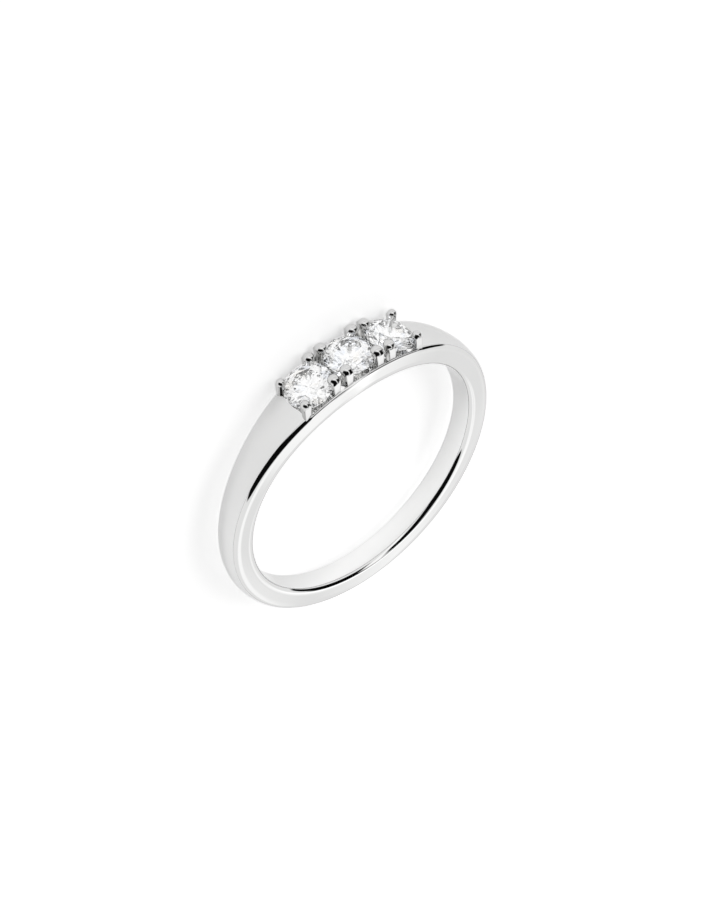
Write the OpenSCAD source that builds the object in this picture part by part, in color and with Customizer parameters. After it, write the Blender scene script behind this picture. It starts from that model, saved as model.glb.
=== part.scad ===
// Three-stone claw-set ring, lying on its side.
// The finger's axis is Z, the stones face -Y, and the origin is the middle of the finger hole.

/* [Band] */
// Diameter of the finger hole
hole_diameter = 16.5; // [15:0.1:20]
// Thickness of the wall beside the stones
top_wall = 1.55; // [1.5:0.01:1.7]
// Thickness of the wall opposite the stones
bottom_wall = 1.64; // [1.2:0.02:2.4]
// Width of the band opposite the stones
band_width = 1.66; // [1.5:0.02:3]
// Width of the band under the middle stone
head_width = 3.26; // [3.2:0.02:3.6]
// How sharply the band narrows away from the stones
flare = 4.35; // [3:0.05:6]
// Rounding of the two edges at the finger hole
inner_rounding = 0.26; // [0.15:0.01:0.3]
// Rounding of the two outer edges
outer_rounding = 0.28; // [0.1:0.01:0.35]
// Height of the outer face's bulge across the band
dome = 0.12; // [0.02:0.01:0.2]

/* [Setting] */
// Angle from the middle stone to the ends of the shoulders
shoulder_angle = 25.5; // [25:0.1:28]
// Height of the two rails above the finger hole
rail_height = 1.33; // [1.2:0.01:1.4]
// Thickness of a rail at its top
rail_thickness = 0.24; // [0.2:0.01:0.35]
// Rounding of the rails' outer top edges
rail_rounding = 0.1; // [0.04:0.01:0.14]
// Height of the floor between the rails above the finger hole
floor_height = 0.7; // [0.6:0.02:0.9]

/* [Stones] */
// Diameter of each stone
stone_diameter = 2.98; // [2.6:0.01:3]
// Height of the stones' widest level above the finger hole
stone_height = 1.7; // [1.66:0.01:1.9]
// Distance between neighbouring stones' middles
stone_spacing = 3.02; // [3.02:0.01:3.1]
// Width of the table as a share of the diameter
table_share = 0.57; // [0.5:0.01:0.62]
// Height of the crown above the girdle
crown_height = 0.41; // [0.35:0.01:0.45]
// Thickness of the girdle
girdle_height = 0.08; // [0.05:0.01:0.12]
// Depth of the pavilion below the girdle
pavilion_depth = 1.25; // [1.1:0.01:1.3]
// Gap between a stone and the metal that holds it
seat_gap = 0.04; // [0.02:0.01:0.06]

/* [Claws] */
// Radius of a claw from the floor to the top of its rail
claw_foot = 0.24; // [0.2:0.01:0.27]
// Radius of a claw below its tip
claw_top = 0.33; // [0.27:0.01:0.35]
// Radius of a claw's round tip
tip_radius = 0.37; // [0.36:0.01:0.4]
// Distance of each tip from its stone's middle, along the ring and across it
tip_offset = 1.125; // [1.1:0.005:1.15]
// Height of a tip's middle above the stone's widest level
tip_height = 0.385; // [0.35:0.005:0.45]

/* [Hidden] */
hole_r = hole_diameter / 2;
rail_r = hole_r + rail_height;
floor_r = hole_r + floor_height;
stone_r = stone_diameter / 2;
stone_level = hole_r + stone_height;
table_r = stone_r * table_share;
stone_angle = 2 * asin(stone_spacing / 2 / stone_level);
inner_cover = 0.06;
end_step = 0.2;
claw_inset = 0.03;
knee_cover = 0.015;
claw_root = 0.15;
fold = 180 / 8;

// Half the band's width at an angle from the middle stone
function half_width(c) = band_width / 2
    + (head_width - band_width) / 2 * pow((1 + cos(c)) / 2, flare);

// Outer radius of the band on its middle line, away from the setting
function outer_r(c) = hole_r + bottom_wall
    + (top_wall - bottom_wall) * (1 + cos(c)) / 2;

function is_setting(c) = cos(c) > cos(shoulder_angle);

// The section's inner rounding, from inside the finger hole to the side face, as radius and height
function inner_edge(w) =
    let (slope = (1 - cos(30)) / sin(30))
    concat(
        [[hole_r - inner_cover, w - inner_rounding - inner_cover / slope]],
        [for (k = [30, 60, 90])
            [hole_r + inner_rounding * (1 - cos(k)), w - inner_rounding * (1 - sin(k))]]
    );

// A rounding between the side face and a face that looks outwards
function outer_edge(w, r, edge) = [for (k = [0, 22.5, 45, 67.5])
    [r - edge * (1 - sin(k)), w - edge * (1 - cos(k))]];

// Outer face of the band, from its edge to its middle
function outer_face(w, r) =
    let (core = w - outer_rounding)
    [for (s = [0.85, 0.6, 0.3, 0]) [r - dome * s * s, core * s]];

// Top of a rail, its inner wall and the floor of the channel, down to the middle
function channel_face(w) =
    let (inside = w - rail_thickness)
    [[rail_r, inside], [floor_r, inside], [floor_r, inside / 2], [floor_r, 0]];

function half_section(c) =
    let (w = half_width(c), r = outer_r(c))
    is_setting(c)
        ? concat(inner_edge(w), outer_edge(w, rail_r, rail_rounding), channel_face(w))
        : concat(inner_edge(w), outer_edge(w, r - dome, outer_rounding), outer_face(w, r));

// The whole section: one half, and the same points mirrored without the one in the middle
function section(c) =
    let (half = half_section(c))
    concat(half, [for (i = [len(half) - 2 : -1 : 0]) [half[i][0], -half[i][1]]]);

// Angles of the sections, with a pair close together at each end of the setting
section_angles = concat(
    [-shoulder_angle + end_step],
    [for (c = [-20 : 5 : 20]) c],
    [shoulder_angle - end_step, shoulder_angle + end_step],
    [for (c = [30 : 5 : 330]) c],
    [360 - shoulder_angle - end_step]
);

// A point at an angle from the middle stone, a distance from the finger's axis, and a height
function at(c, r, z) = [r * sin(c), -r * cos(c), z];

// The band before the finger hole is cut, as a skin over its sections
module blank() {
    rings = [for (c = section_angles) [for (p = section(c)) at(c, p[0], p[1])]];
    n = len(rings);
    m = len(rings[0]);
    points = [for (ring = rings) for (p = ring) p];
    faces = [for (i = [0 : n - 1]) for (j = [0 : m - 1])
        let (
            a = i * m + j,
            b = i * m + (j + 1) % m,
            c = ((i + 1) % n) * m + (j + 1) % m,
            d = ((i + 1) % n) * m + j
        )
        each [[a, c, b], [a, d, c]]];
    polyhedron(points, faces, convexity = 6);
}

// A tapered round bar between two points, with a ball at its far end
module bar(from, to, from_r, to_r, ball_r) {
    d = to - from;
    translate(from)
        rotate([0, acos(d[2] / norm(d)), atan2(d[1], d[0])]) {
            cylinder(h = norm(d), r1 = from_r, r2 = to_r, $fn = 48);
            translate([0, 0, norm(d)])
                sphere(r = ball_r, $fn = 48);
        }
}

// Middle of a claw's tip: stone -1, 0 or 1, then the side along the ring and the side across it
function tip(stone, along, across) =
    let (a = stone * stone_angle, r = stone_level + tip_height)
    [
        r * sin(a) + along * tip_offset * cos(a),
        -r * cos(a) + along * tip_offset * sin(a),
        across * tip_offset
    ];

// A claw stands in the channel beside its rail, then leans in over the girdle to its round tip
module claw(stone, along, across) {
    end = tip(stone, along, across);
    knee_angle = asin(end[0] / rail_r);
    z = across * (half_width(knee_angle) - claw_foot - claw_inset);
    knee = [end[0], -rail_r * cos(knee_angle), z];
    root = [end[0], -(floor_r - claw_root) * cos(asin(end[0] / floor_r)), z];
    bar(root, knee, claw_foot, claw_foot, claw_foot + knee_cover);
    bar(knee, end, claw_foot, claw_top, tip_radius);
}

// Moves a shape from the origin to a stone's place, with its table facing outwards
module seated(stone) {
    rotate([0, 0, stone * stone_angle])
        translate([0, -stone_level, 0])
            rotate([90, 0, 0])
                children();
}

// The room that a stone takes up in the metal, with its gap
module seat() {
    side = girdle_height / 2;
    rotate_extrude($fn = 96)
        polygon([
            [0, -side - pavilion_depth - 2 * seat_gap],
            [stone_r + seat_gap, -side - seat_gap / 2],
            [stone_r + seat_gap, side + seat_gap / 2],
            [table_r + seat_gap, side + crown_height + seat_gap],
            [0, side + crown_height + seat_gap]
        ]);
}

module band() {
    color("silver")
        difference() {
            union() {
                blank();
                for (stone = [-1 : 1])
                    for (along = [-1, 1])
                        for (across = [-1, 1])
                            claw(stone, along, across);
            }
            cylinder(r = hole_r, h = 2 * head_width, center = true, $fn = 180);
            for (stone = [-1 : 1])
                seated(stone) seat();
        }
}

// A point of a stone: angle, distance from its axis, and height
function facet_point(c, r, z) = [r * cos(c), r * sin(c), z];

// A round brilliant: the flat facets between its table, crown, girdle, pavilion and point
module brilliant() {
    side = girdle_height / 2;
    top = side + crown_height;
    point_z = -side - pavilion_depth;
    star_r = (table_r + stone_r) / 2 / cos(fold);
    star_z = top - crown_height * (star_r * cos(fold) - table_r) / (stone_r - table_r);
    low_share = 0.24;
    hull()
        polyhedron(
            points = concat(
                [for (k = [0 : 7]) facet_point(2 * k * fold, table_r, top)],
                [for (k = [0 : 7]) facet_point((2 * k + 1) * fold, star_r, star_z)],
                [for (k = [0 : 15]) facet_point(k * fold, stone_r, side)],
                [for (k = [0 : 15]) facet_point(k * fold, stone_r, -side)],
                [for (k = [0 : 7]) facet_point((2 * k + 1) * fold, stone_r * low_share / cos(fold),
                    point_z + pavilion_depth * low_share)],
                [[0, 0, point_z]]
            ),
            faces = [
                [for (k = [7 : -1 : 0]) k],
                for (k = [0 : 7]) [k, (k + 1) % 8, 8 + k],
                for (k = [0 : 7]) [k, 8 + k, 16 + 2 * k],
                for (k = [0 : 7]) [(k + 1) % 8, 16 + (2 * k + 2) % 16, 8 + k],
                for (k = [0 : 7]) [8 + k, 16 + 2 * k + 1, 16 + 2 * k],
                for (k = [0 : 7]) [8 + k, 16 + (2 * k + 2) % 16, 16 + 2 * k + 1],
                for (k = [0 : 15]) [16 + k, 16 + (k + 1) % 16, 32 + (k + 1) % 16, 32 + k],
                for (k = [0 : 7]) [48 + k, 32 + 2 * k, 32 + 2 * k + 1],
                for (k = [0 : 7]) [48 + k, 32 + 2 * k + 1, 32 + (2 * k + 2) % 16],
                for (k = [0 : 7]) [56, 32 + 2 * k, 48 + k],
                for (k = [0 : 7]) [56, 48 + k, 32 + (2 * k + 2) % 16]
            ]
        );
}

module stone_left() {
    color("lightcyan") seated(-1) brilliant();
}

module stone_centre() {
    color("lightcyan") seated(0) brilliant();
}

module stone_right() {
    color("lightcyan") seated(1) brilliant();
}

band();
stone_left();
stone_centre();
stone_right();
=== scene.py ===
import math

import bpy
from mathutils import Matrix, Vector


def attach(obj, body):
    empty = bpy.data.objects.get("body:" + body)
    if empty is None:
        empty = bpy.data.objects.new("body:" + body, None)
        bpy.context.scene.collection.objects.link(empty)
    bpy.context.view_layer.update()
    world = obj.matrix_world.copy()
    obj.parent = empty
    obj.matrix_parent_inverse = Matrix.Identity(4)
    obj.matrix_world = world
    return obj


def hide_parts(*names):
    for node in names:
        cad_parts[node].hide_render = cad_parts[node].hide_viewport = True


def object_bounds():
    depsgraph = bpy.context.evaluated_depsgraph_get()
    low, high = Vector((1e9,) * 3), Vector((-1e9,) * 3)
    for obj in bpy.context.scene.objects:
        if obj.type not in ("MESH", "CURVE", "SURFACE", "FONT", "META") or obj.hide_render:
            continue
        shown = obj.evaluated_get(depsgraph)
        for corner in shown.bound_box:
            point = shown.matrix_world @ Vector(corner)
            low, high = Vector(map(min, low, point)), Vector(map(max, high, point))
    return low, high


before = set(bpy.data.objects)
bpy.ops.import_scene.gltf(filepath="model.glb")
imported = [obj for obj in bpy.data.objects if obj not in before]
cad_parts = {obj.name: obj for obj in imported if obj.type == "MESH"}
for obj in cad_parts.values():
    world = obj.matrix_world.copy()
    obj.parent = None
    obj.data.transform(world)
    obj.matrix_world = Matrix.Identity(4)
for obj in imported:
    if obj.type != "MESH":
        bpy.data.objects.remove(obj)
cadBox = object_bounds()
mm = 0.001
tiny = 0.0000001  # metres, for places that should be the same
hair = 0.000001  # metres, for corners that become one
smoothAngle = 35  # degrees, edges sharper than this stay crisp


def deselectAll():
    if bpy.context.mode != "OBJECT":
        bpy.ops.object.mode_set(mode="OBJECT")
    bpy.ops.object.select_all(action="DESELECT")


def pick(piece):  # the only selected and active object
    deselectAll()
    piece.select_set(True)
    bpy.context.view_layer.objects.active = piece


def editOnly(piece, test):  # goes into edit mode with just the vertices that pass the test
    pick(piece)
    bpy.ops.object.mode_set(mode="EDIT")
    bpy.ops.mesh.select_mode(type="VERT")
    bpy.ops.mesh.select_all(action="DESELECT")
    bpy.ops.object.mode_set(mode="OBJECT")
    for corner in piece.data.vertices:
        corner.select = test(corner.co)
    bpy.ops.object.mode_set(mode="EDIT")


def leaveEdit():
    bpy.ops.object.mode_set(mode="OBJECT")


def nameNew(name):
    piece = bpy.context.active_object
    piece.name = name
    piece.data.name = name
    return piece


def applyModifier(piece, kind, **settings):
    pick(piece)
    made = piece.modifiers.new(kind.lower(), kind)
    for key, value in settings.items():
        setattr(made, key, value)
    bpy.ops.object.modifier_apply(modifier=made.name)


def outwards(piece, mergeWithin=0.0):
    editOnly(piece, lambda co: True)
    if mergeWithin:
        bpy.ops.mesh.remove_doubles(threshold=mergeWithin)
    bpy.ops.mesh.normals_make_consistent(inside=False)
    leaveEdit()


def smoothCurves(piece):
    pick(piece)
    bpy.ops.object.shade_smooth_by_angle(angle=math.radians(smoothAngle))


def copyPiece(piece, name, matrix):
    twin = piece.copy()
    twin.data = piece.data.copy()
    twin.name = name
    twin.data.name = name
    bpy.context.scene.collection.objects.link(twin)
    twin.data.transform(matrix)
    if matrix.determinant() < 0:
        outwards(twin)
    return twin


# camera: the photograph's angle, with its turn about the line of sight; places in millimetres
cameraPlace = {
    "right": Vector((-0.7726, 0.0364, 0.6338)),
    "back": Vector((0.3949, -0.7541, 0.5247)),
    "sideways": -0.1188,
    "upwards": 0.5915,
    "distance": 189.67,
    "lens": 125.5,
    "sensor": 36,
    "clipStart": 0.005,
    "clipEnd": 10,
}


def placeCamera():
    c = cameraPlace
    back = c["back"].normalized()
    right = (c["right"] - back * c["right"].dot(back)).normalized()
    up = back.cross(right)
    eye = (right * c["sideways"] + up * c["upwards"] + back * c["distance"]) * mm
    turn = Matrix((right, up, back)).transposed()
    bpy.ops.object.camera_add(location=eye, rotation=turn.to_euler())
    camera = bpy.context.active_object
    camera.name = "camera"
    camera.data.lens = c["lens"]
    camera.data.sensor_width = c["sensor"]
    camera.data.clip_start = c["clipStart"]
    camera.data.clip_end = c["clipEnd"]
    bpy.context.scene.camera = camera
    print("camera placed")


class Wire:  # one output in a node tree; arithmetic on it adds Math nodes
    def __init__(self, tree, socket):
        self.tree = tree
        self.socket = socket

    def node(self, kind, settings=None, output=0, **values):  # in0, in1 and so on are sockets by their place
        made = self.tree.nodes.new(kind)
        for key, value in (settings or {}).items():
            setattr(made, key, value)
        for key, value in values.items():
            into = made.inputs[int(key[2:]) if key.startswith("in") else key.replace("_", " ")]
            if isinstance(value, Wire):
                self.tree.links.new(value.socket, into)
            else:
                into.default_value = value
        return Wire(self.tree, made.outputs[output])

    def math(self, operation, *others):
        values = {f"in{i}": v for i, v in enumerate((self, *others))}
        return self.node("ShaderNodeMath", {"operation": operation}, **values)

    def __add__(self, other):
        return self.math("ADD", other)

    def __mul__(self, other):
        return self.math("MULTIPLY", other)

    def __sub__(self, other):
        return self.math("SUBTRACT", other)

    def __truediv__(self, other):
        return self.math("DIVIDE", other)

    def __rsub__(self, other):
        return (self * -1.0) + other

    __radd__ = __add__
    __rmul__ = __mul__


def newMaterial(name):
    made = bpy.data.materials.new(name)
    made.use_nodes = True
    tree = made.node_tree
    shader = tree.nodes["Principled BSDF"]
    place = tree.nodes.new("ShaderNodeTexCoord")
    return made, tree, shader, Wire(tree, place.outputs["Object"])


def feed(tree, wire, socket):
    tree.links.new(wire.socket, socket)


# polished white metal with the fine marks that a polishing wheel leaves along the ring
metalLook = {
    "colour": 0.73,
    # painted shade: the claws are a darker copy of the band's metal, so that their domes look grey as in dim
    # reflections
    "clawColour": 0.66,
    # painted light: the channel under the stones is a lighter copy of the same metal, to brighten that
    # enclosed, shaded recess
    "channelColour": 0.93,
    "cloudy": 0.03,
    "clouds": 420.0,
    "warmth": 0.995,
    "edgeTint": 0.85,  # brightness where it's seen at a low angle
    "roughness": 0.02,
    "roughnessSpread": 0.05,
    "marks": 9000.0,
    "markStretch": 0.0009,  # small, so that each mark runs along the ring
    "markStrength": 0.25,
    "markDepth": 0.0000012,
}


def polishedMetal(name, colour):
    look = metalLook
    made, tree, shader, place = newMaterial(name)
    parts = place.node("ShaderNodeSeparateXYZ", in0=place)
    x, y, z = (Wire(tree, parts.socket.node.outputs[i]) for i in range(3))
    along = y.math("ARCTAN2", x) * look["markStretch"]
    out = (x * x + y * y).math("SQRT")
    around = place.node("ShaderNodeCombineXYZ", X=along, Y=out, Z=z)
    marks = place.node("ShaderNodeTexNoise", Vector=around, Scale=look["marks"], Detail=3.0)
    cloud = place.node("ShaderNodeTexNoise", Vector=place, Scale=look["clouds"], Detail=2.0)
    feed(tree, look["roughness"] + cloud * marks * look["roughnessSpread"], shader.inputs["Roughness"])
    low = colour - look["cloudy"]
    tones = {
        "in6": (colour, colour, colour * look["warmth"], 1),
        "in7": (low, low, low * look["warmth"], 1),
    }
    tone = place.node("ShaderNodeMix", {"data_type": "RGBA"}, output=2, in0=cloud, **tones)
    feed(tree, tone, shader.inputs["Base Color"])
    bump = place.node(
        "ShaderNodeBump", Strength=look["markStrength"], Distance=look["markDepth"], Height=marks
    )
    feed(tree, bump, shader.inputs["Normal"])
    shader.inputs["Metallic"].default_value = 1.0
    edge = look["edgeTint"]
    shader.inputs["Specular Tint"].default_value = (edge, edge, edge, 1)
    return made


# clear cut stone, with painted sparks: a few faint cool and warm specks fixed in its colour stand in for the
# coloured flashes that light makes in it
stoneLook = {
    "clear": (1.0, 1.0, 1.0, 1),
    "cool": (0.88, 0.92, 1.0, 1),
    "warm": (1.0, 0.97, 0.92, 1),
    "sparks": 1900.0,
    "coolShare": 0.1,
    "warmShare": 0.05,
    "ior": 2.42,
}


def clearStone():
    look = stoneLook
    made, tree, shader, place = newMaterial("clear_stone")
    # painted sparks: random cells tint the stone cool or warm, in place of coloured flashes of light
    paintedSparkCells = place.node(
        "ShaderNodeTexVoronoi", {"feature": "F1"}, output=1, Vector=place, Scale=look["sparks"]
    )
    parts = place.node("ShaderNodeSeparateColor", in0=paintedSparkCells)
    red, green = (Wire(tree, parts.socket.node.outputs[i]) for i in range(2))
    tone = look["clear"]
    for chance, share, colour in ((red, "coolShare", "cool"), (green, "warmShare", "warm")):
        here = chance.math("GREATER_THAN", 1 - look[share])
        tone = place.node(
            "ShaderNodeMix", {"data_type": "RGBA"}, output=2, in0=here, in6=tone, in7=look[colour]
        )
    feed(tree, tone, shader.inputs["Base Color"])
    shader.inputs["Roughness"].default_value = 0.0
    shader.inputs["Transmission Weight"].default_value = 1.0
    shader.inputs["IOR"].default_value = look["ior"]
    return made


# the band: a section drawn once round the finger hole, lowered and hollowed under the stones
bandShape = {
    "hole": 8.25,
    "topWall": 1.55,
    "bottomWall": 1.64,
    "halfWidth": 0.83,
    "halfHead": 1.63,
    "flare": 4.35,
    "innerRounding": 0.26,
    "innerSteps": 6,
    "outerRounding": 0.31,
    "outerSteps": 7,
    "sideLines": (8.75, 8.95, 9.2),  # radii of the lines on the side face
    "dome": 0.13,
    "domeSlope": 16.7,
    "domeLines": (0.85, 0.7, 0.55, 0.38, 0.2, 0),  # shares of the outer face's half width
    "stations": 240,
    "shoulderEnd": 25.5,
    "steepEnd": 25.2,
    "rail": 9.58,
    "railThickness": 0.13,
    "railRounding": 0.08,
    "ledge": 9.4,
    "ledgeEdge": 0.72,  # shares of the channel's half width
    "floorEdge": 0.68,
    "floorLine": 0.33,
    "floor": 8.5,
    "channelEnd": 25,
    "endBevel": 0.035,
    "endBevelSteps": 3,
}
stationStep = 360 / bandShape["stations"]
closeAngle = 0.1  # degrees
closeBy = 0.01  # millimetres


def headAngle(co):  # degrees from the middle stone
    return math.degrees(math.atan2(co.x, -co.y))


def flareShare(degrees):  # 1 at the middle stone, 0 opposite it
    return ((1 + math.cos(math.radians(degrees))) / 2) ** bandShape["flare"]


def halfWidth(degrees):
    b = bandShape
    return b["halfWidth"] + (b["halfHead"] - b["halfWidth"]) * flareShare(degrees)


def quarter(step, steps, degrees=90):  # sine and cosine along a rounding
    k = math.radians(degrees * step / steps)
    return math.sin(k), math.cos(k)


def sectionLines():  # each line's radius, height and shift, and its radius and height in the setting
    b = bandShape
    edge, inner = b["halfWidth"], b["innerRounding"]
    outerRound, railRound = b["outerRounding"], b["railRounding"]
    shift = (b["bottomWall"] - b["topWall"]) / 2
    outer = b["hole"] + b["topWall"] + shift
    lines = [(b["hole"], edge - inner, 0, None)]
    for step in range(1, b["innerSteps"] + 1):
        s, c = quarter(step, b["innerSteps"])
        lines.append((b["hole"] + inner * (1 - c), edge - inner * (1 - s), 0, None))
    lines += [(radius, edge, 0, None) for radius in b["sideLines"]]

    last = 90 - b["domeSlope"]
    endSine, endCosine = quarter(1, 1, last)
    top = outer - b["dome"] + outerRound * (1 - endSine)
    for step in range(b["outerSteps"] + 1):
        s, c = quarter(step, b["outerSteps"], last)
        lowSine, lowCosine = quarter(step, b["outerSteps"])
        low = (b["rail"] - railRound * (1 - lowSine), edge - railRound * (1 - lowCosine))
        lines.append((top - outerRound * (1 - s), edge - outerRound * (1 - c), shift, low))

    core = edge - outerRound * (1 - endCosine)
    inside = edge - b["railThickness"]
    lows = [
        (b["rail"], inside),
        (b["ledge"], inside),
        (b["ledge"], inside * b["ledgeEdge"]),
        (b["floor"], inside * b["floorEdge"]),
        (b["floor"], inside * b["floorLine"]),
        (b["floor"], 0),
    ]
    for share, low in zip(b["domeLines"], lows):
        lines.append((outer - b["dome"] * share * share, core * share, shift, low))
    return lines, core


def drawBand(lines):  # the section's upper half, taken round the finger hole line by line
    b = bandShape
    deselectAll()
    bpy.ops.mesh.primitive_circle_add(vertices=b["stations"], radius=b["hole"] * mm, location=(0, 0, 0))
    band = nameNew("ring_band")
    bpy.ops.object.mode_set(mode="EDIT")
    bpy.ops.mesh.select_all(action="SELECT")
    radius, height, shift = b["hole"], 0.0, 0.0
    for nextRadius, nextHeight, nextShift, _ in lines:
        rise = (nextHeight - height) * mm
        grow = nextRadius / radius
        bpy.ops.mesh.extrude_region_move(TRANSFORM_OT_translate={"value": (0, 0, rise)})
        bpy.ops.transform.resize(value=(grow, grow, 1), center_override=(0, shift * mm, 0))
        if nextShift != shift:
            bpy.ops.transform.translate(value=(0, (nextShift - shift) * mm, 0))
        radius, height, shift = nextRadius, nextHeight, nextShift
    leaveEdit()
    print("band drawn,", len(band.data.vertices), "corners")
    return band


def sinkSetting(band, lines):  # lowers the outer lines to rails and a channel under the stones
    b = bandShape
    near = 0.5 * closeBy * mm
    for fromRadius, fromHeight, shift, low in lines:
        if not low:
            continue

        def onLine(co):
            along = math.hypot(co.x, co.y - shift * mm)
            inZone = abs(headAngle(co)) < b["shoulderEnd"] - stationStep / 2
            return inZone and abs(along - fromRadius * mm) < near and abs(co.z - fromHeight * mm) < near

        editOnly(band, onLine)
        grow = low[0] / (fromRadius - shift)
        bpy.ops.transform.resize(value=(grow, grow, 1), center_override=(0, 0, 0))
        bpy.ops.transform.translate(value=(0, 0, (low[1] - fromHeight) * mm))
        leaveEdit()

    lastStation = b["shoulderEnd"] - stationStep
    for side in (-1, 1):  # the last station moves close to the shoulder, for a steep end
        editOnly(band, lambda co: abs(headAngle(co) - side * lastStation) < closeAngle)
        turn = math.radians(b["steepEnd"] - lastStation) * side
        bpy.ops.transform.rotate(value=-turn, orient_axis="Z", center_override=(0, 0, 0))
        leaveEdit()


def flareBand(band, core):  # widens the band towards the stones, and leaves its roundings as they are
    b = bandShape
    flare = band.vertex_groups.new(name="flare")
    for corner in band.data.vertices:
        co = corner.co / mm
        if co.xy.length < b["hole"] + closeBy:
            limit = b["halfWidth"] - b["innerRounding"]
        elif abs(headAngle(co)) < b["steepEnd"] + closeAngle:
            limit = b["halfWidth"] - b["railThickness"]
        else:
            limit = core
        weight = min(1.0, co.z / limit) * flareShare(headAngle(co))
        flare.add([corner.index], weight, "REPLACE")
    widening = (b["halfHead"] - b["halfWidth"]) * mm
    applyModifier(band, "DISPLACE", direction="Z", mid_level=0.0, strength=widening, vertex_group="flare")


def buildBand():
    b = bandShape
    lines, core = sectionLines()
    band = drawBand(lines)
    sinkSetting(band, lines)
    flareBand(band, core)

    def atShoulderEnd(co):
        onEnd = abs(abs(headAngle(co)) - b["shoulderEnd"]) < closeAngle
        return onEnd and co.xy.length > (b["rail"] - b["railRounding"]) * mm

    editOnly(band, atShoulderEnd)
    bpy.ops.mesh.bevel(offset=b["endBevel"] * mm, segments=b["endBevelSteps"], affect="EDGES")
    leaveEdit()
    applyModifier(band, "MIRROR", use_axis=(False, False, True), merge_threshold=hair)
    outwards(band, hair)
    smoothCurves(band)
    print("band made,", len(band.data.vertices), "corners")
    return band


def paintBand(band):  # the channel's faces get the second material, a lighter copy of the metal: painted light in that enclosed, shaded recess
    b = bandShape
    for name, colour in (("polished_metal", "colour"), ("channel_metal", "channelColour")):
        band.data.materials.append(polishedMetal(name, metalLook[colour]))

    def inChannel(co):
        place = co / mm
        inside = halfWidth(headAngle(co)) - b["railThickness"] + closeBy
        inWall = b["floor"] - closeBy < place.xy.length < b["rail"] + closeBy
        return abs(headAngle(co)) < b["channelEnd"] and inWall and abs(place.z) < inside

    editOnly(band, inChannel)
    band.active_material_index = 1
    bpy.ops.object.material_slot_assign()
    leaveEdit()


# the cut stones
stoneShape = {
    "radius": 1.49,
    "level": 9.95,
    "spacing": 3.02,
    "table": 0.57,
    "crown": 0.41,
    "girdle": 0.08,
    "pavilion": 1.33,
    "lowShare": 0.24,
    "sides": 64,
    "seatGap": 0.03,
    "seatPoint": 0.02,
    "seatSides": 96,
}
stoneAngle = 2 * math.degrees(math.asin(stoneShape["spacing"] / 2 / stoneShape["level"]))
stoneNames = {-1: "left", 0: "centre", 1: "right"}


def seatedAt(stone):  # from a stone's own place, table up, to its place in the ring
    turn = Matrix.Rotation(math.radians(stone * stoneAngle), 4, "Z")
    out = Matrix.Translation((0, -stoneShape["level"] * mm, 0))
    return turn @ out @ Matrix.Rotation(math.radians(90), 4, "X")


def facetPoint(degrees, radius, height):
    c = math.radians(degrees)
    return Vector((radius * math.cos(c), radius * math.sin(c), height)) * mm


def cutFacet(a, b, c):  # slices off all that is outside the plane through three points
    normal = (b - a).cross(c - a).normalized()
    if normal.dot(a) < 0:
        normal = -normal
    bpy.ops.mesh.select_all(action="SELECT")
    bpy.ops.mesh.bisect(
        plane_co=a, plane_no=normal, use_fill=True, clear_outer=True, threshold=tiny / 10
    )


def buildStone():
    s = stoneShape
    r, side = s["radius"], s["girdle"] / 2
    top, foot = side + s["crown"], -side - s["pavilion"]
    tableRadius = r * s["table"]
    fold = 360 / 16
    bend = math.cos(math.radians(fold))
    starRadius = (tableRadius + r) / 2 / bend
    starHeight = top - s["crown"] * (starRadius * bend - tableRadius) / (r - tableRadius)
    lowRadius = r * s["lowShare"] / bend
    lowHeight = foot + s["pavilion"] * s["lowShare"]
    deselectAll()
    bpy.ops.mesh.primitive_cylinder_add(
        vertices=s["sides"],
        radius=r * mm,
        depth=(top - foot) * mm,
        location=(0, 0, (top + foot) / 2 * mm),
    )
    stone = nameNew("cut_stone")
    bpy.ops.object.transform_apply(location=True)
    bpy.ops.object.mode_set(mode="EDIT")
    for k in range(8):
        main, star = 2 * k * fold, (2 * k + 1) * fold
        tablePoint = facetPoint(main, tableRadius, top)
        nextPoint = facetPoint(main + 2 * fold, tableRadius, top)
        starPoint = facetPoint(star, starRadius, starHeight)
        lowPoint = facetPoint(star, lowRadius, lowHeight)
        cutFacet(tablePoint, starPoint, facetPoint(main, r, side))
        cutFacet(tablePoint, nextPoint, starPoint)
        cutFacet(facetPoint(0, 0, foot), lowPoint, facetPoint(main, r, -side))
        for turn in (-fold, fold):
            cutFacet(starPoint, facetPoint(star + turn, r, side), facetPoint(star, r, side))
            cutFacet(lowPoint, facetPoint(star + turn, r, -side), facetPoint(star, r, -side))
    leaveEdit()
    outwards(stone, 2 * hair)
    print("stone cut,", len(stone.data.polygons), "faces")
    return stone


def seatCutter():  # the room that a stone takes up in the claws
    s = stoneShape
    gap, side = s["seatGap"], s["girdle"] / 2
    bottom = -side - s["pavilion"] - 2 * gap
    wide = s["radius"] + gap
    deselectAll()
    bpy.ops.mesh.primitive_cone_add(
        vertices=s["seatSides"],
        radius1=s["seatPoint"] * mm,
        radius2=wide * mm,
        depth=(-side - bottom) * mm,
        location=(0, 0, (bottom - side) / 2 * mm),
    )
    cutter = nameNew("seat_cutter")
    bpy.ops.object.transform_apply(location=True)
    editOnly(cutter, lambda co: co.z > (-side - closeBy) * mm)
    for rise in (2 * side, s["crown"] + gap):
        bpy.ops.mesh.extrude_region_move(TRANSFORM_OT_translate={"value": (0, 0, rise * mm)})
    shrink = (s["table"] * s["radius"] + gap) / wide
    bpy.ops.transform.resize(value=(shrink, shrink, 1), center_override=(0, 0, 0))
    leaveEdit()
    return cutter


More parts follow.
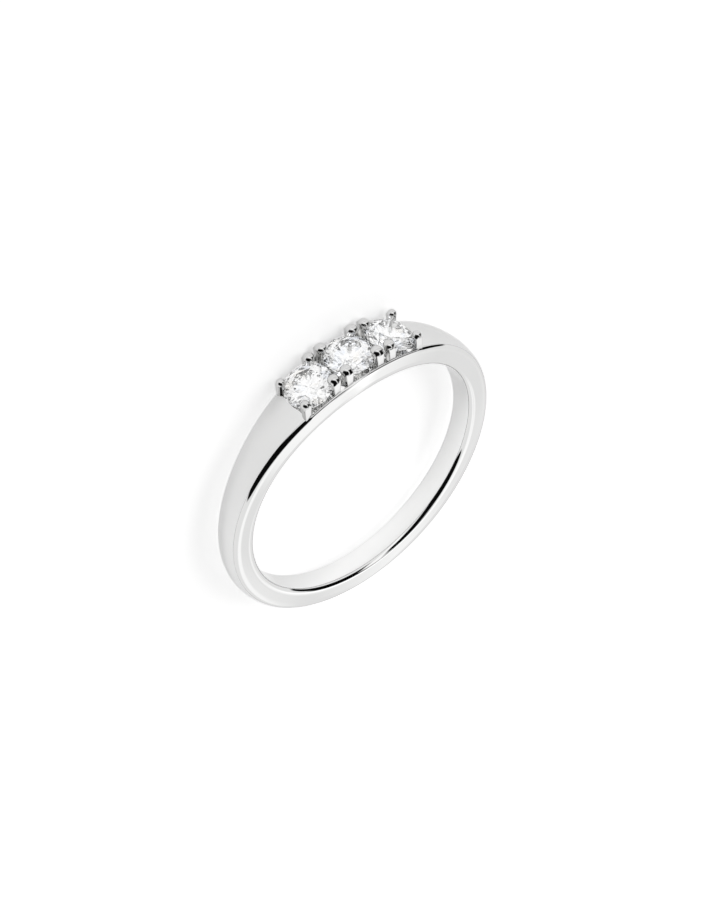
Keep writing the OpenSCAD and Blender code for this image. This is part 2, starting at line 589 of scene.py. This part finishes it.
# the claws: each is flat in front and round behind, widens from its foot and ends in a dome
clawShape = {
    "sides": 48,
    "offset": 1.125,
    "outerOffset": 1.04,  # the claws at the shoulders stand closer and are slimmer
    "tipHeight": 0.385,
    "foot": 0.25,
    "top": 0.34,
    "outerTop": 0.3,
    "rootAt": 8.6,
    "rootInset": 0.05,
    "frontInset": 0.09,  # from the band's side face
    "stretch": 1.6,  # how far the front half is drawn out before it is flattened
    "footStops": (0.5, 0.1),
    "shankStops": (0.04, 0.5, 0.96, 1),
    "dome": 0.355,
    "domeSteps": 13,
    "domeTurn": 0.6,  # how much of its way to a circle each section of the dome goes
}


def clawPath(stone, aside, half):  # root, knee and tip of the claw's line, and its front's distance from it
    s, c, rail = stoneShape, clawShape, bandShape["rail"]
    a = math.radians(stone * stoneAngle)
    out = Vector((math.sin(a), -math.cos(a), 0))
    beside = Vector((math.cos(a), math.sin(a), 0))
    tip = out * (s["level"] + c["tipHeight"]) + beside * aside
    tip.z = c["offset"]
    kneeAngle = math.asin(tip.x / rail)
    rootAngle = math.asin(tip.x / c["rootAt"])
    kneeWidth = halfWidth(math.degrees(kneeAngle))
    depth = kneeWidth - c["frontInset"] - tip.z
    kneeZ = tip.z + depth * (1 - c["foot"] / half)
    rootZ = kneeZ + halfWidth(math.degrees(rootAngle)) - kneeWidth - c["rootInset"]
    knee = Vector((tip.x, -rail * math.cos(kneeAngle), kneeZ))
    root = Vector((tip.x, -c["rootAt"] * math.cos(rootAngle), rootZ))
    return root, knee, tip, depth


def clawStops(root, knee, tip, out, half):  # each section's middle, half width and turn to a circle
    c = clawShape
    foot = c["foot"]
    stops = [(knee + (root - knee) * t, foot, 0) for t in c["footStops"]]
    stops += [(knee + (tip - knee) * t, foot + (half - foot) * t, 0) for t in c["shankStops"]]
    for step in range(1, c["domeSteps"]):
        rise, narrow = quarter(step, c["domeSteps"] - 0.5)
        stops.append((tip + out * c["dome"] * rise, half * narrow, c["domeTurn"]))
    return stops


def buildClaw(name, stone, along):
    c = clawShape
    isOuter = stone * along == 1
    half = c["outerTop"] if isOuter else c["top"]
    aside = along * (c["outerOffset"] if isOuter else c["offset"])
    root, knee, tip, depth = clawPath(stone, aside, half)
    turn = math.radians(stone * stoneAngle)
    out = Vector((math.sin(turn), -math.cos(turn), 0))
    deselectAll()
    bpy.ops.mesh.primitive_circle_add(
        vertices=c["sides"],
        radius=c["foot"] * mm,
        fill_type="NGON",
        location=root * mm,
        rotation=(math.radians(90), 0, turn),
    )
    claw = nameNew(name)
    bpy.ops.object.transform_apply(location=True, rotation=True)
    front = root.z + depth * c["foot"] / half
    editOnly(claw, lambda co: co.z > root.z * mm + tiny)
    bpy.ops.transform.resize(value=(1, 1, c["stretch"] * depth / half), center_override=root * mm)
    leaveEdit()
    editOnly(claw, lambda co: co.z > front * mm)
    bpy.ops.transform.resize(value=(1, 1, 0), center_override=(0, 0, front * mm))
    bpy.ops.mesh.select_all(action="SELECT")
    at, wide = root, c["foot"]
    for place, radius, share in clawStops(root, knee, tip, out, half):
        bpy.ops.mesh.extrude_region_move(TRANSFORM_OT_translate={"value": (place - at) * mm})
        grow = radius / wide
        bpy.ops.transform.resize(value=(grow, grow, grow), center_override=place * mm)
        if share:
            bpy.ops.transform.tosphere(value=share, center_override=place * mm)
        at, wide = place, radius
    leaveEdit()
    outwards(claw)
    return claw


def cutSeats(piece, cutter):
    for stone in stoneNames:
        block = copyPiece(cutter, "seat_block", seatedAt(stone))
        applyModifier(piece, "BOOLEAN", operation="DIFFERENCE", solver="EXACT", object=block)
        bpy.data.objects.remove(block)


# studio: a pale floor, soft white light all round, and a dark side that draws the black lines
# stripLeft, darkBack and the like are the planes that bound each zone, given as the way they face
studio = {
    "floorSize": 3,
    "floor": 0.9,
    "floorGlow": 0.45,
    "floorLight": 0.5,
    "floorRoughness": 0.55,
    "floorSpread": 0.1,
    "floorClouds": 30.0,
    "bright": 1.04,
    "strip": 0.26,  # a brighter strip that crosses the dark side at the gap between its halves
    "stripLeft": (0.898, 0.18, 0.402),
    "stripRight": (0.919, 0.332, 0.2145),
    "stripLeftShift": 0.03,
    "stripRightShift": -0.02,
    "stripEdge": 0.03,
    "head": 0.27,  # light on the side face near the stones
    "headFrom": (-0.305, 0.732, 0.61),
    "headShift": -0.975,
    "headSoft": 0.04,
    "headLeft": (-0.829, 0.0, -0.56),
    "headLow": (0.703, 0.627, -0.336),
    "headEdge": 0.03,
    "dark": 0.004,
    "darkBack": (0.063, 0.905, -0.42),
    "peakLeft": (-0.595, 0.341, -0.728),
    "peakRight": (0.871, 0.488, -0.048),
    "gapLeft": (0.905, 0.003, 0.426),
    "gapRight": (0.943, 0.221, 0.25),
    "darkNear": (0.592, 0.664, 0.458),
    "darkFar": (0.117, 0.693, 0.711),
    "darkEdge": 0.05,
    "throughStone": 0.87,  # how much the stones see the plain light instead
    "horizon": 0.55,
    "horizonWidth": 0.09,
    "keyPlace": (-0.30, -0.12, 0.42),
    "keySize": 0.3,
    "keyPower": 0.55,
    "poolPlace": (-0.0012, 0.0059, 0.003),  # a faint light in the finger hole
    "poolSize": 0.002,
    "poolPower": 0.00007,
    "stoneBounces": 32,  # light turns round many times inside a cut stone
    "mirrorBounces": 12,
}


def buildFloor():
    s = studio
    deselectAll()
    bpy.ops.mesh.primitive_plane_add(size=s["floorSize"], location=(0, 0, cadBox[0].z))
    floor = nameNew("floor")
    bpy.ops.object.transform_apply(location=True)
    made, tree, shader, place = newMaterial("pale_floor")
    cloud = place.node("ShaderNodeTexNoise", Vector=place, Scale=s["floorClouds"], Detail=2.0)
    feed(tree, cloud * s["floorSpread"] + s["floorRoughness"], shader.inputs["Roughness"])
    shader.inputs["Base Color"].default_value = (s["floor"], s["floor"], s["floor"], 1)
    shader.inputs["Emission Color"].default_value = (1, 1, 1, 1)
    shader.inputs["Emission Strength"].default_value = s["floorGlow"]
    floor.data.materials.append(made)


def clamped(wire):
    wire.socket.node.use_clamp = True
    return wire


def buildSky():
    s = studio
    world = bpy.data.worlds.new("studio")
    world.use_nodes = True
    tree = world.node_tree
    sky = tree.nodes["Background"]
    sky.inputs["Color"].default_value = (1, 1, 1, 1)
    look = Wire(tree, tree.nodes.new("ShaderNodeTexCoord").outputs["Generated"])

    def side(key, soft, shift=0.0):  # 1 on the side that the plane looks to, 0 on the other
        dot = look.node(
            "ShaderNodeVectorMath", {"operation": "DOT_PRODUCT"}, output=1, in0=look, in1=s[key]
        )
        return clamped((dot + shift) / soft + 0.5)

    edge = s["darkEdge"]
    peak = (1.0 - side("peakLeft", edge)) * (1.0 - side("peakRight", edge))
    back = 1.0 - side("darkBack", edge) * (1.0 - peak)
    near = side("gapRight", edge) * side("darkNear", edge)
    far = (1.0 - side("gapLeft", edge)) * side("darkFar", edge)
    dark = back * (near + far)
    stripRight = side("stripRight", s["stripEdge"], s["stripRightShift"])
    strip = side("stripLeft", s["stripEdge"], s["stripLeftShift"]) * (1.0 - stripRight)
    grey = side("headLeft", s["headEdge"]) * side("headLow", s["headEdge"])
    head = side("headFrom", s["headSoft"], s["headShift"]) * (1.0 - grey)
    light = strip * s["strip"] + head * s["head"] + s["bright"]
    shown = light * (1.0 - dark) + dark * s["dark"]
    height = look.node("ShaderNodeSeparateXYZ", output=2, in0=look)
    line = clamped(1.0 - height.math("ABSOLUTE") / s["horizonWidth"])
    shown = shown * (1.0 - line * s["horizon"])
    path = tree.nodes.new("ShaderNodeLightPath")
    onFloor = Wire(tree, path.outputs["Is Diffuse Ray"])
    inStone = Wire(tree, path.outputs["Is Transmission Ray"]) * s["throughStone"]
    shown = shown * (1.0 - inStone) + inStone * s["bright"]
    feed(tree, onFloor * s["floorLight"] + (1.0 - onFloor) * shown, sky.inputs["Strength"])
    bpy.context.scene.world = world


def addLamp(place, back, size, power):  # a square lamp with its back to a direction; metal doesn't mirror it
    turn = Vector(back).to_track_quat("Z", "Y").to_euler()
    bpy.ops.object.light_add(type="AREA", location=place, rotation=turn)
    lamp = bpy.context.active_object
    lamp.data.size = size
    lamp.data.energy = power
    lamp.visible_glossy = False
    return lamp


def buildStudio():
    s = studio
    buildFloor()
    buildSky()
    addLamp(s["keyPlace"], s["keyPlace"], s["keySize"], s["keyPower"])
    pool = addLamp(s["poolPlace"], (0, 0, 1), s["poolSize"], s["poolPower"])
    pool.visible_camera = False
    pool.visible_transmission = False
    scene = bpy.context.scene
    scene.view_settings.view_transform = "Standard"
    scene.cycles.max_bounces = s["stoneBounces"]
    scene.cycles.transmission_bounces = s["stoneBounces"]
    scene.cycles.glossy_bounces = s["mirrorBounces"]
    print("studio built")


placeCamera()

band = buildBand()
paintBand(band)
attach(band, "root")
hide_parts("band")

mirrorX = Matrix.Scale(-1, 4, (1, 0, 0))
mirrorZ = Matrix.Scale(-1, 4, (0, 0, 1))
# painted shade: the claws get a darker copy of the band's metal
clawMetalPaintedShade = polishedMetal("claw_metal", metalLook["clawColour"])
cutter = seatCutter()
claws = []
for word, stone, along in (("middle", 0, 1), ("inner", 1, -1), ("outer", 1, 1)):
    name = "claw_" + word
    claw = buildClaw(name, stone, along)
    cutSeats(claw, cutter)
    smoothCurves(claw)
    claw.data.materials.clear()
    claw.data.materials.append(clawMetalPaintedShade)
    claws.append(claw)
    for letter, mirror in (("b", mirrorX), ("c", mirrorZ), ("d", mirrorX @ mirrorZ)):
        claws.append(copyPiece(claw, name + "_" + letter, mirror))
bpy.data.objects.remove(cutter)
for claw in claws:
    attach(claw, "root")
    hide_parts("band")
print("claws made,", len(claws))

cutStone = buildStone()
cutStone.data.materials.clear()
cutStone.data.materials.append(clearStone())
for stone, word in stoneNames.items():
    piece = copyPiece(cutStone, "cut_stone_" + word, seatedAt(stone))
    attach(piece, "root")
    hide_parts("stone_" + word)
bpy.data.objects.remove(cutStone)
print("stones set")

buildStudio()
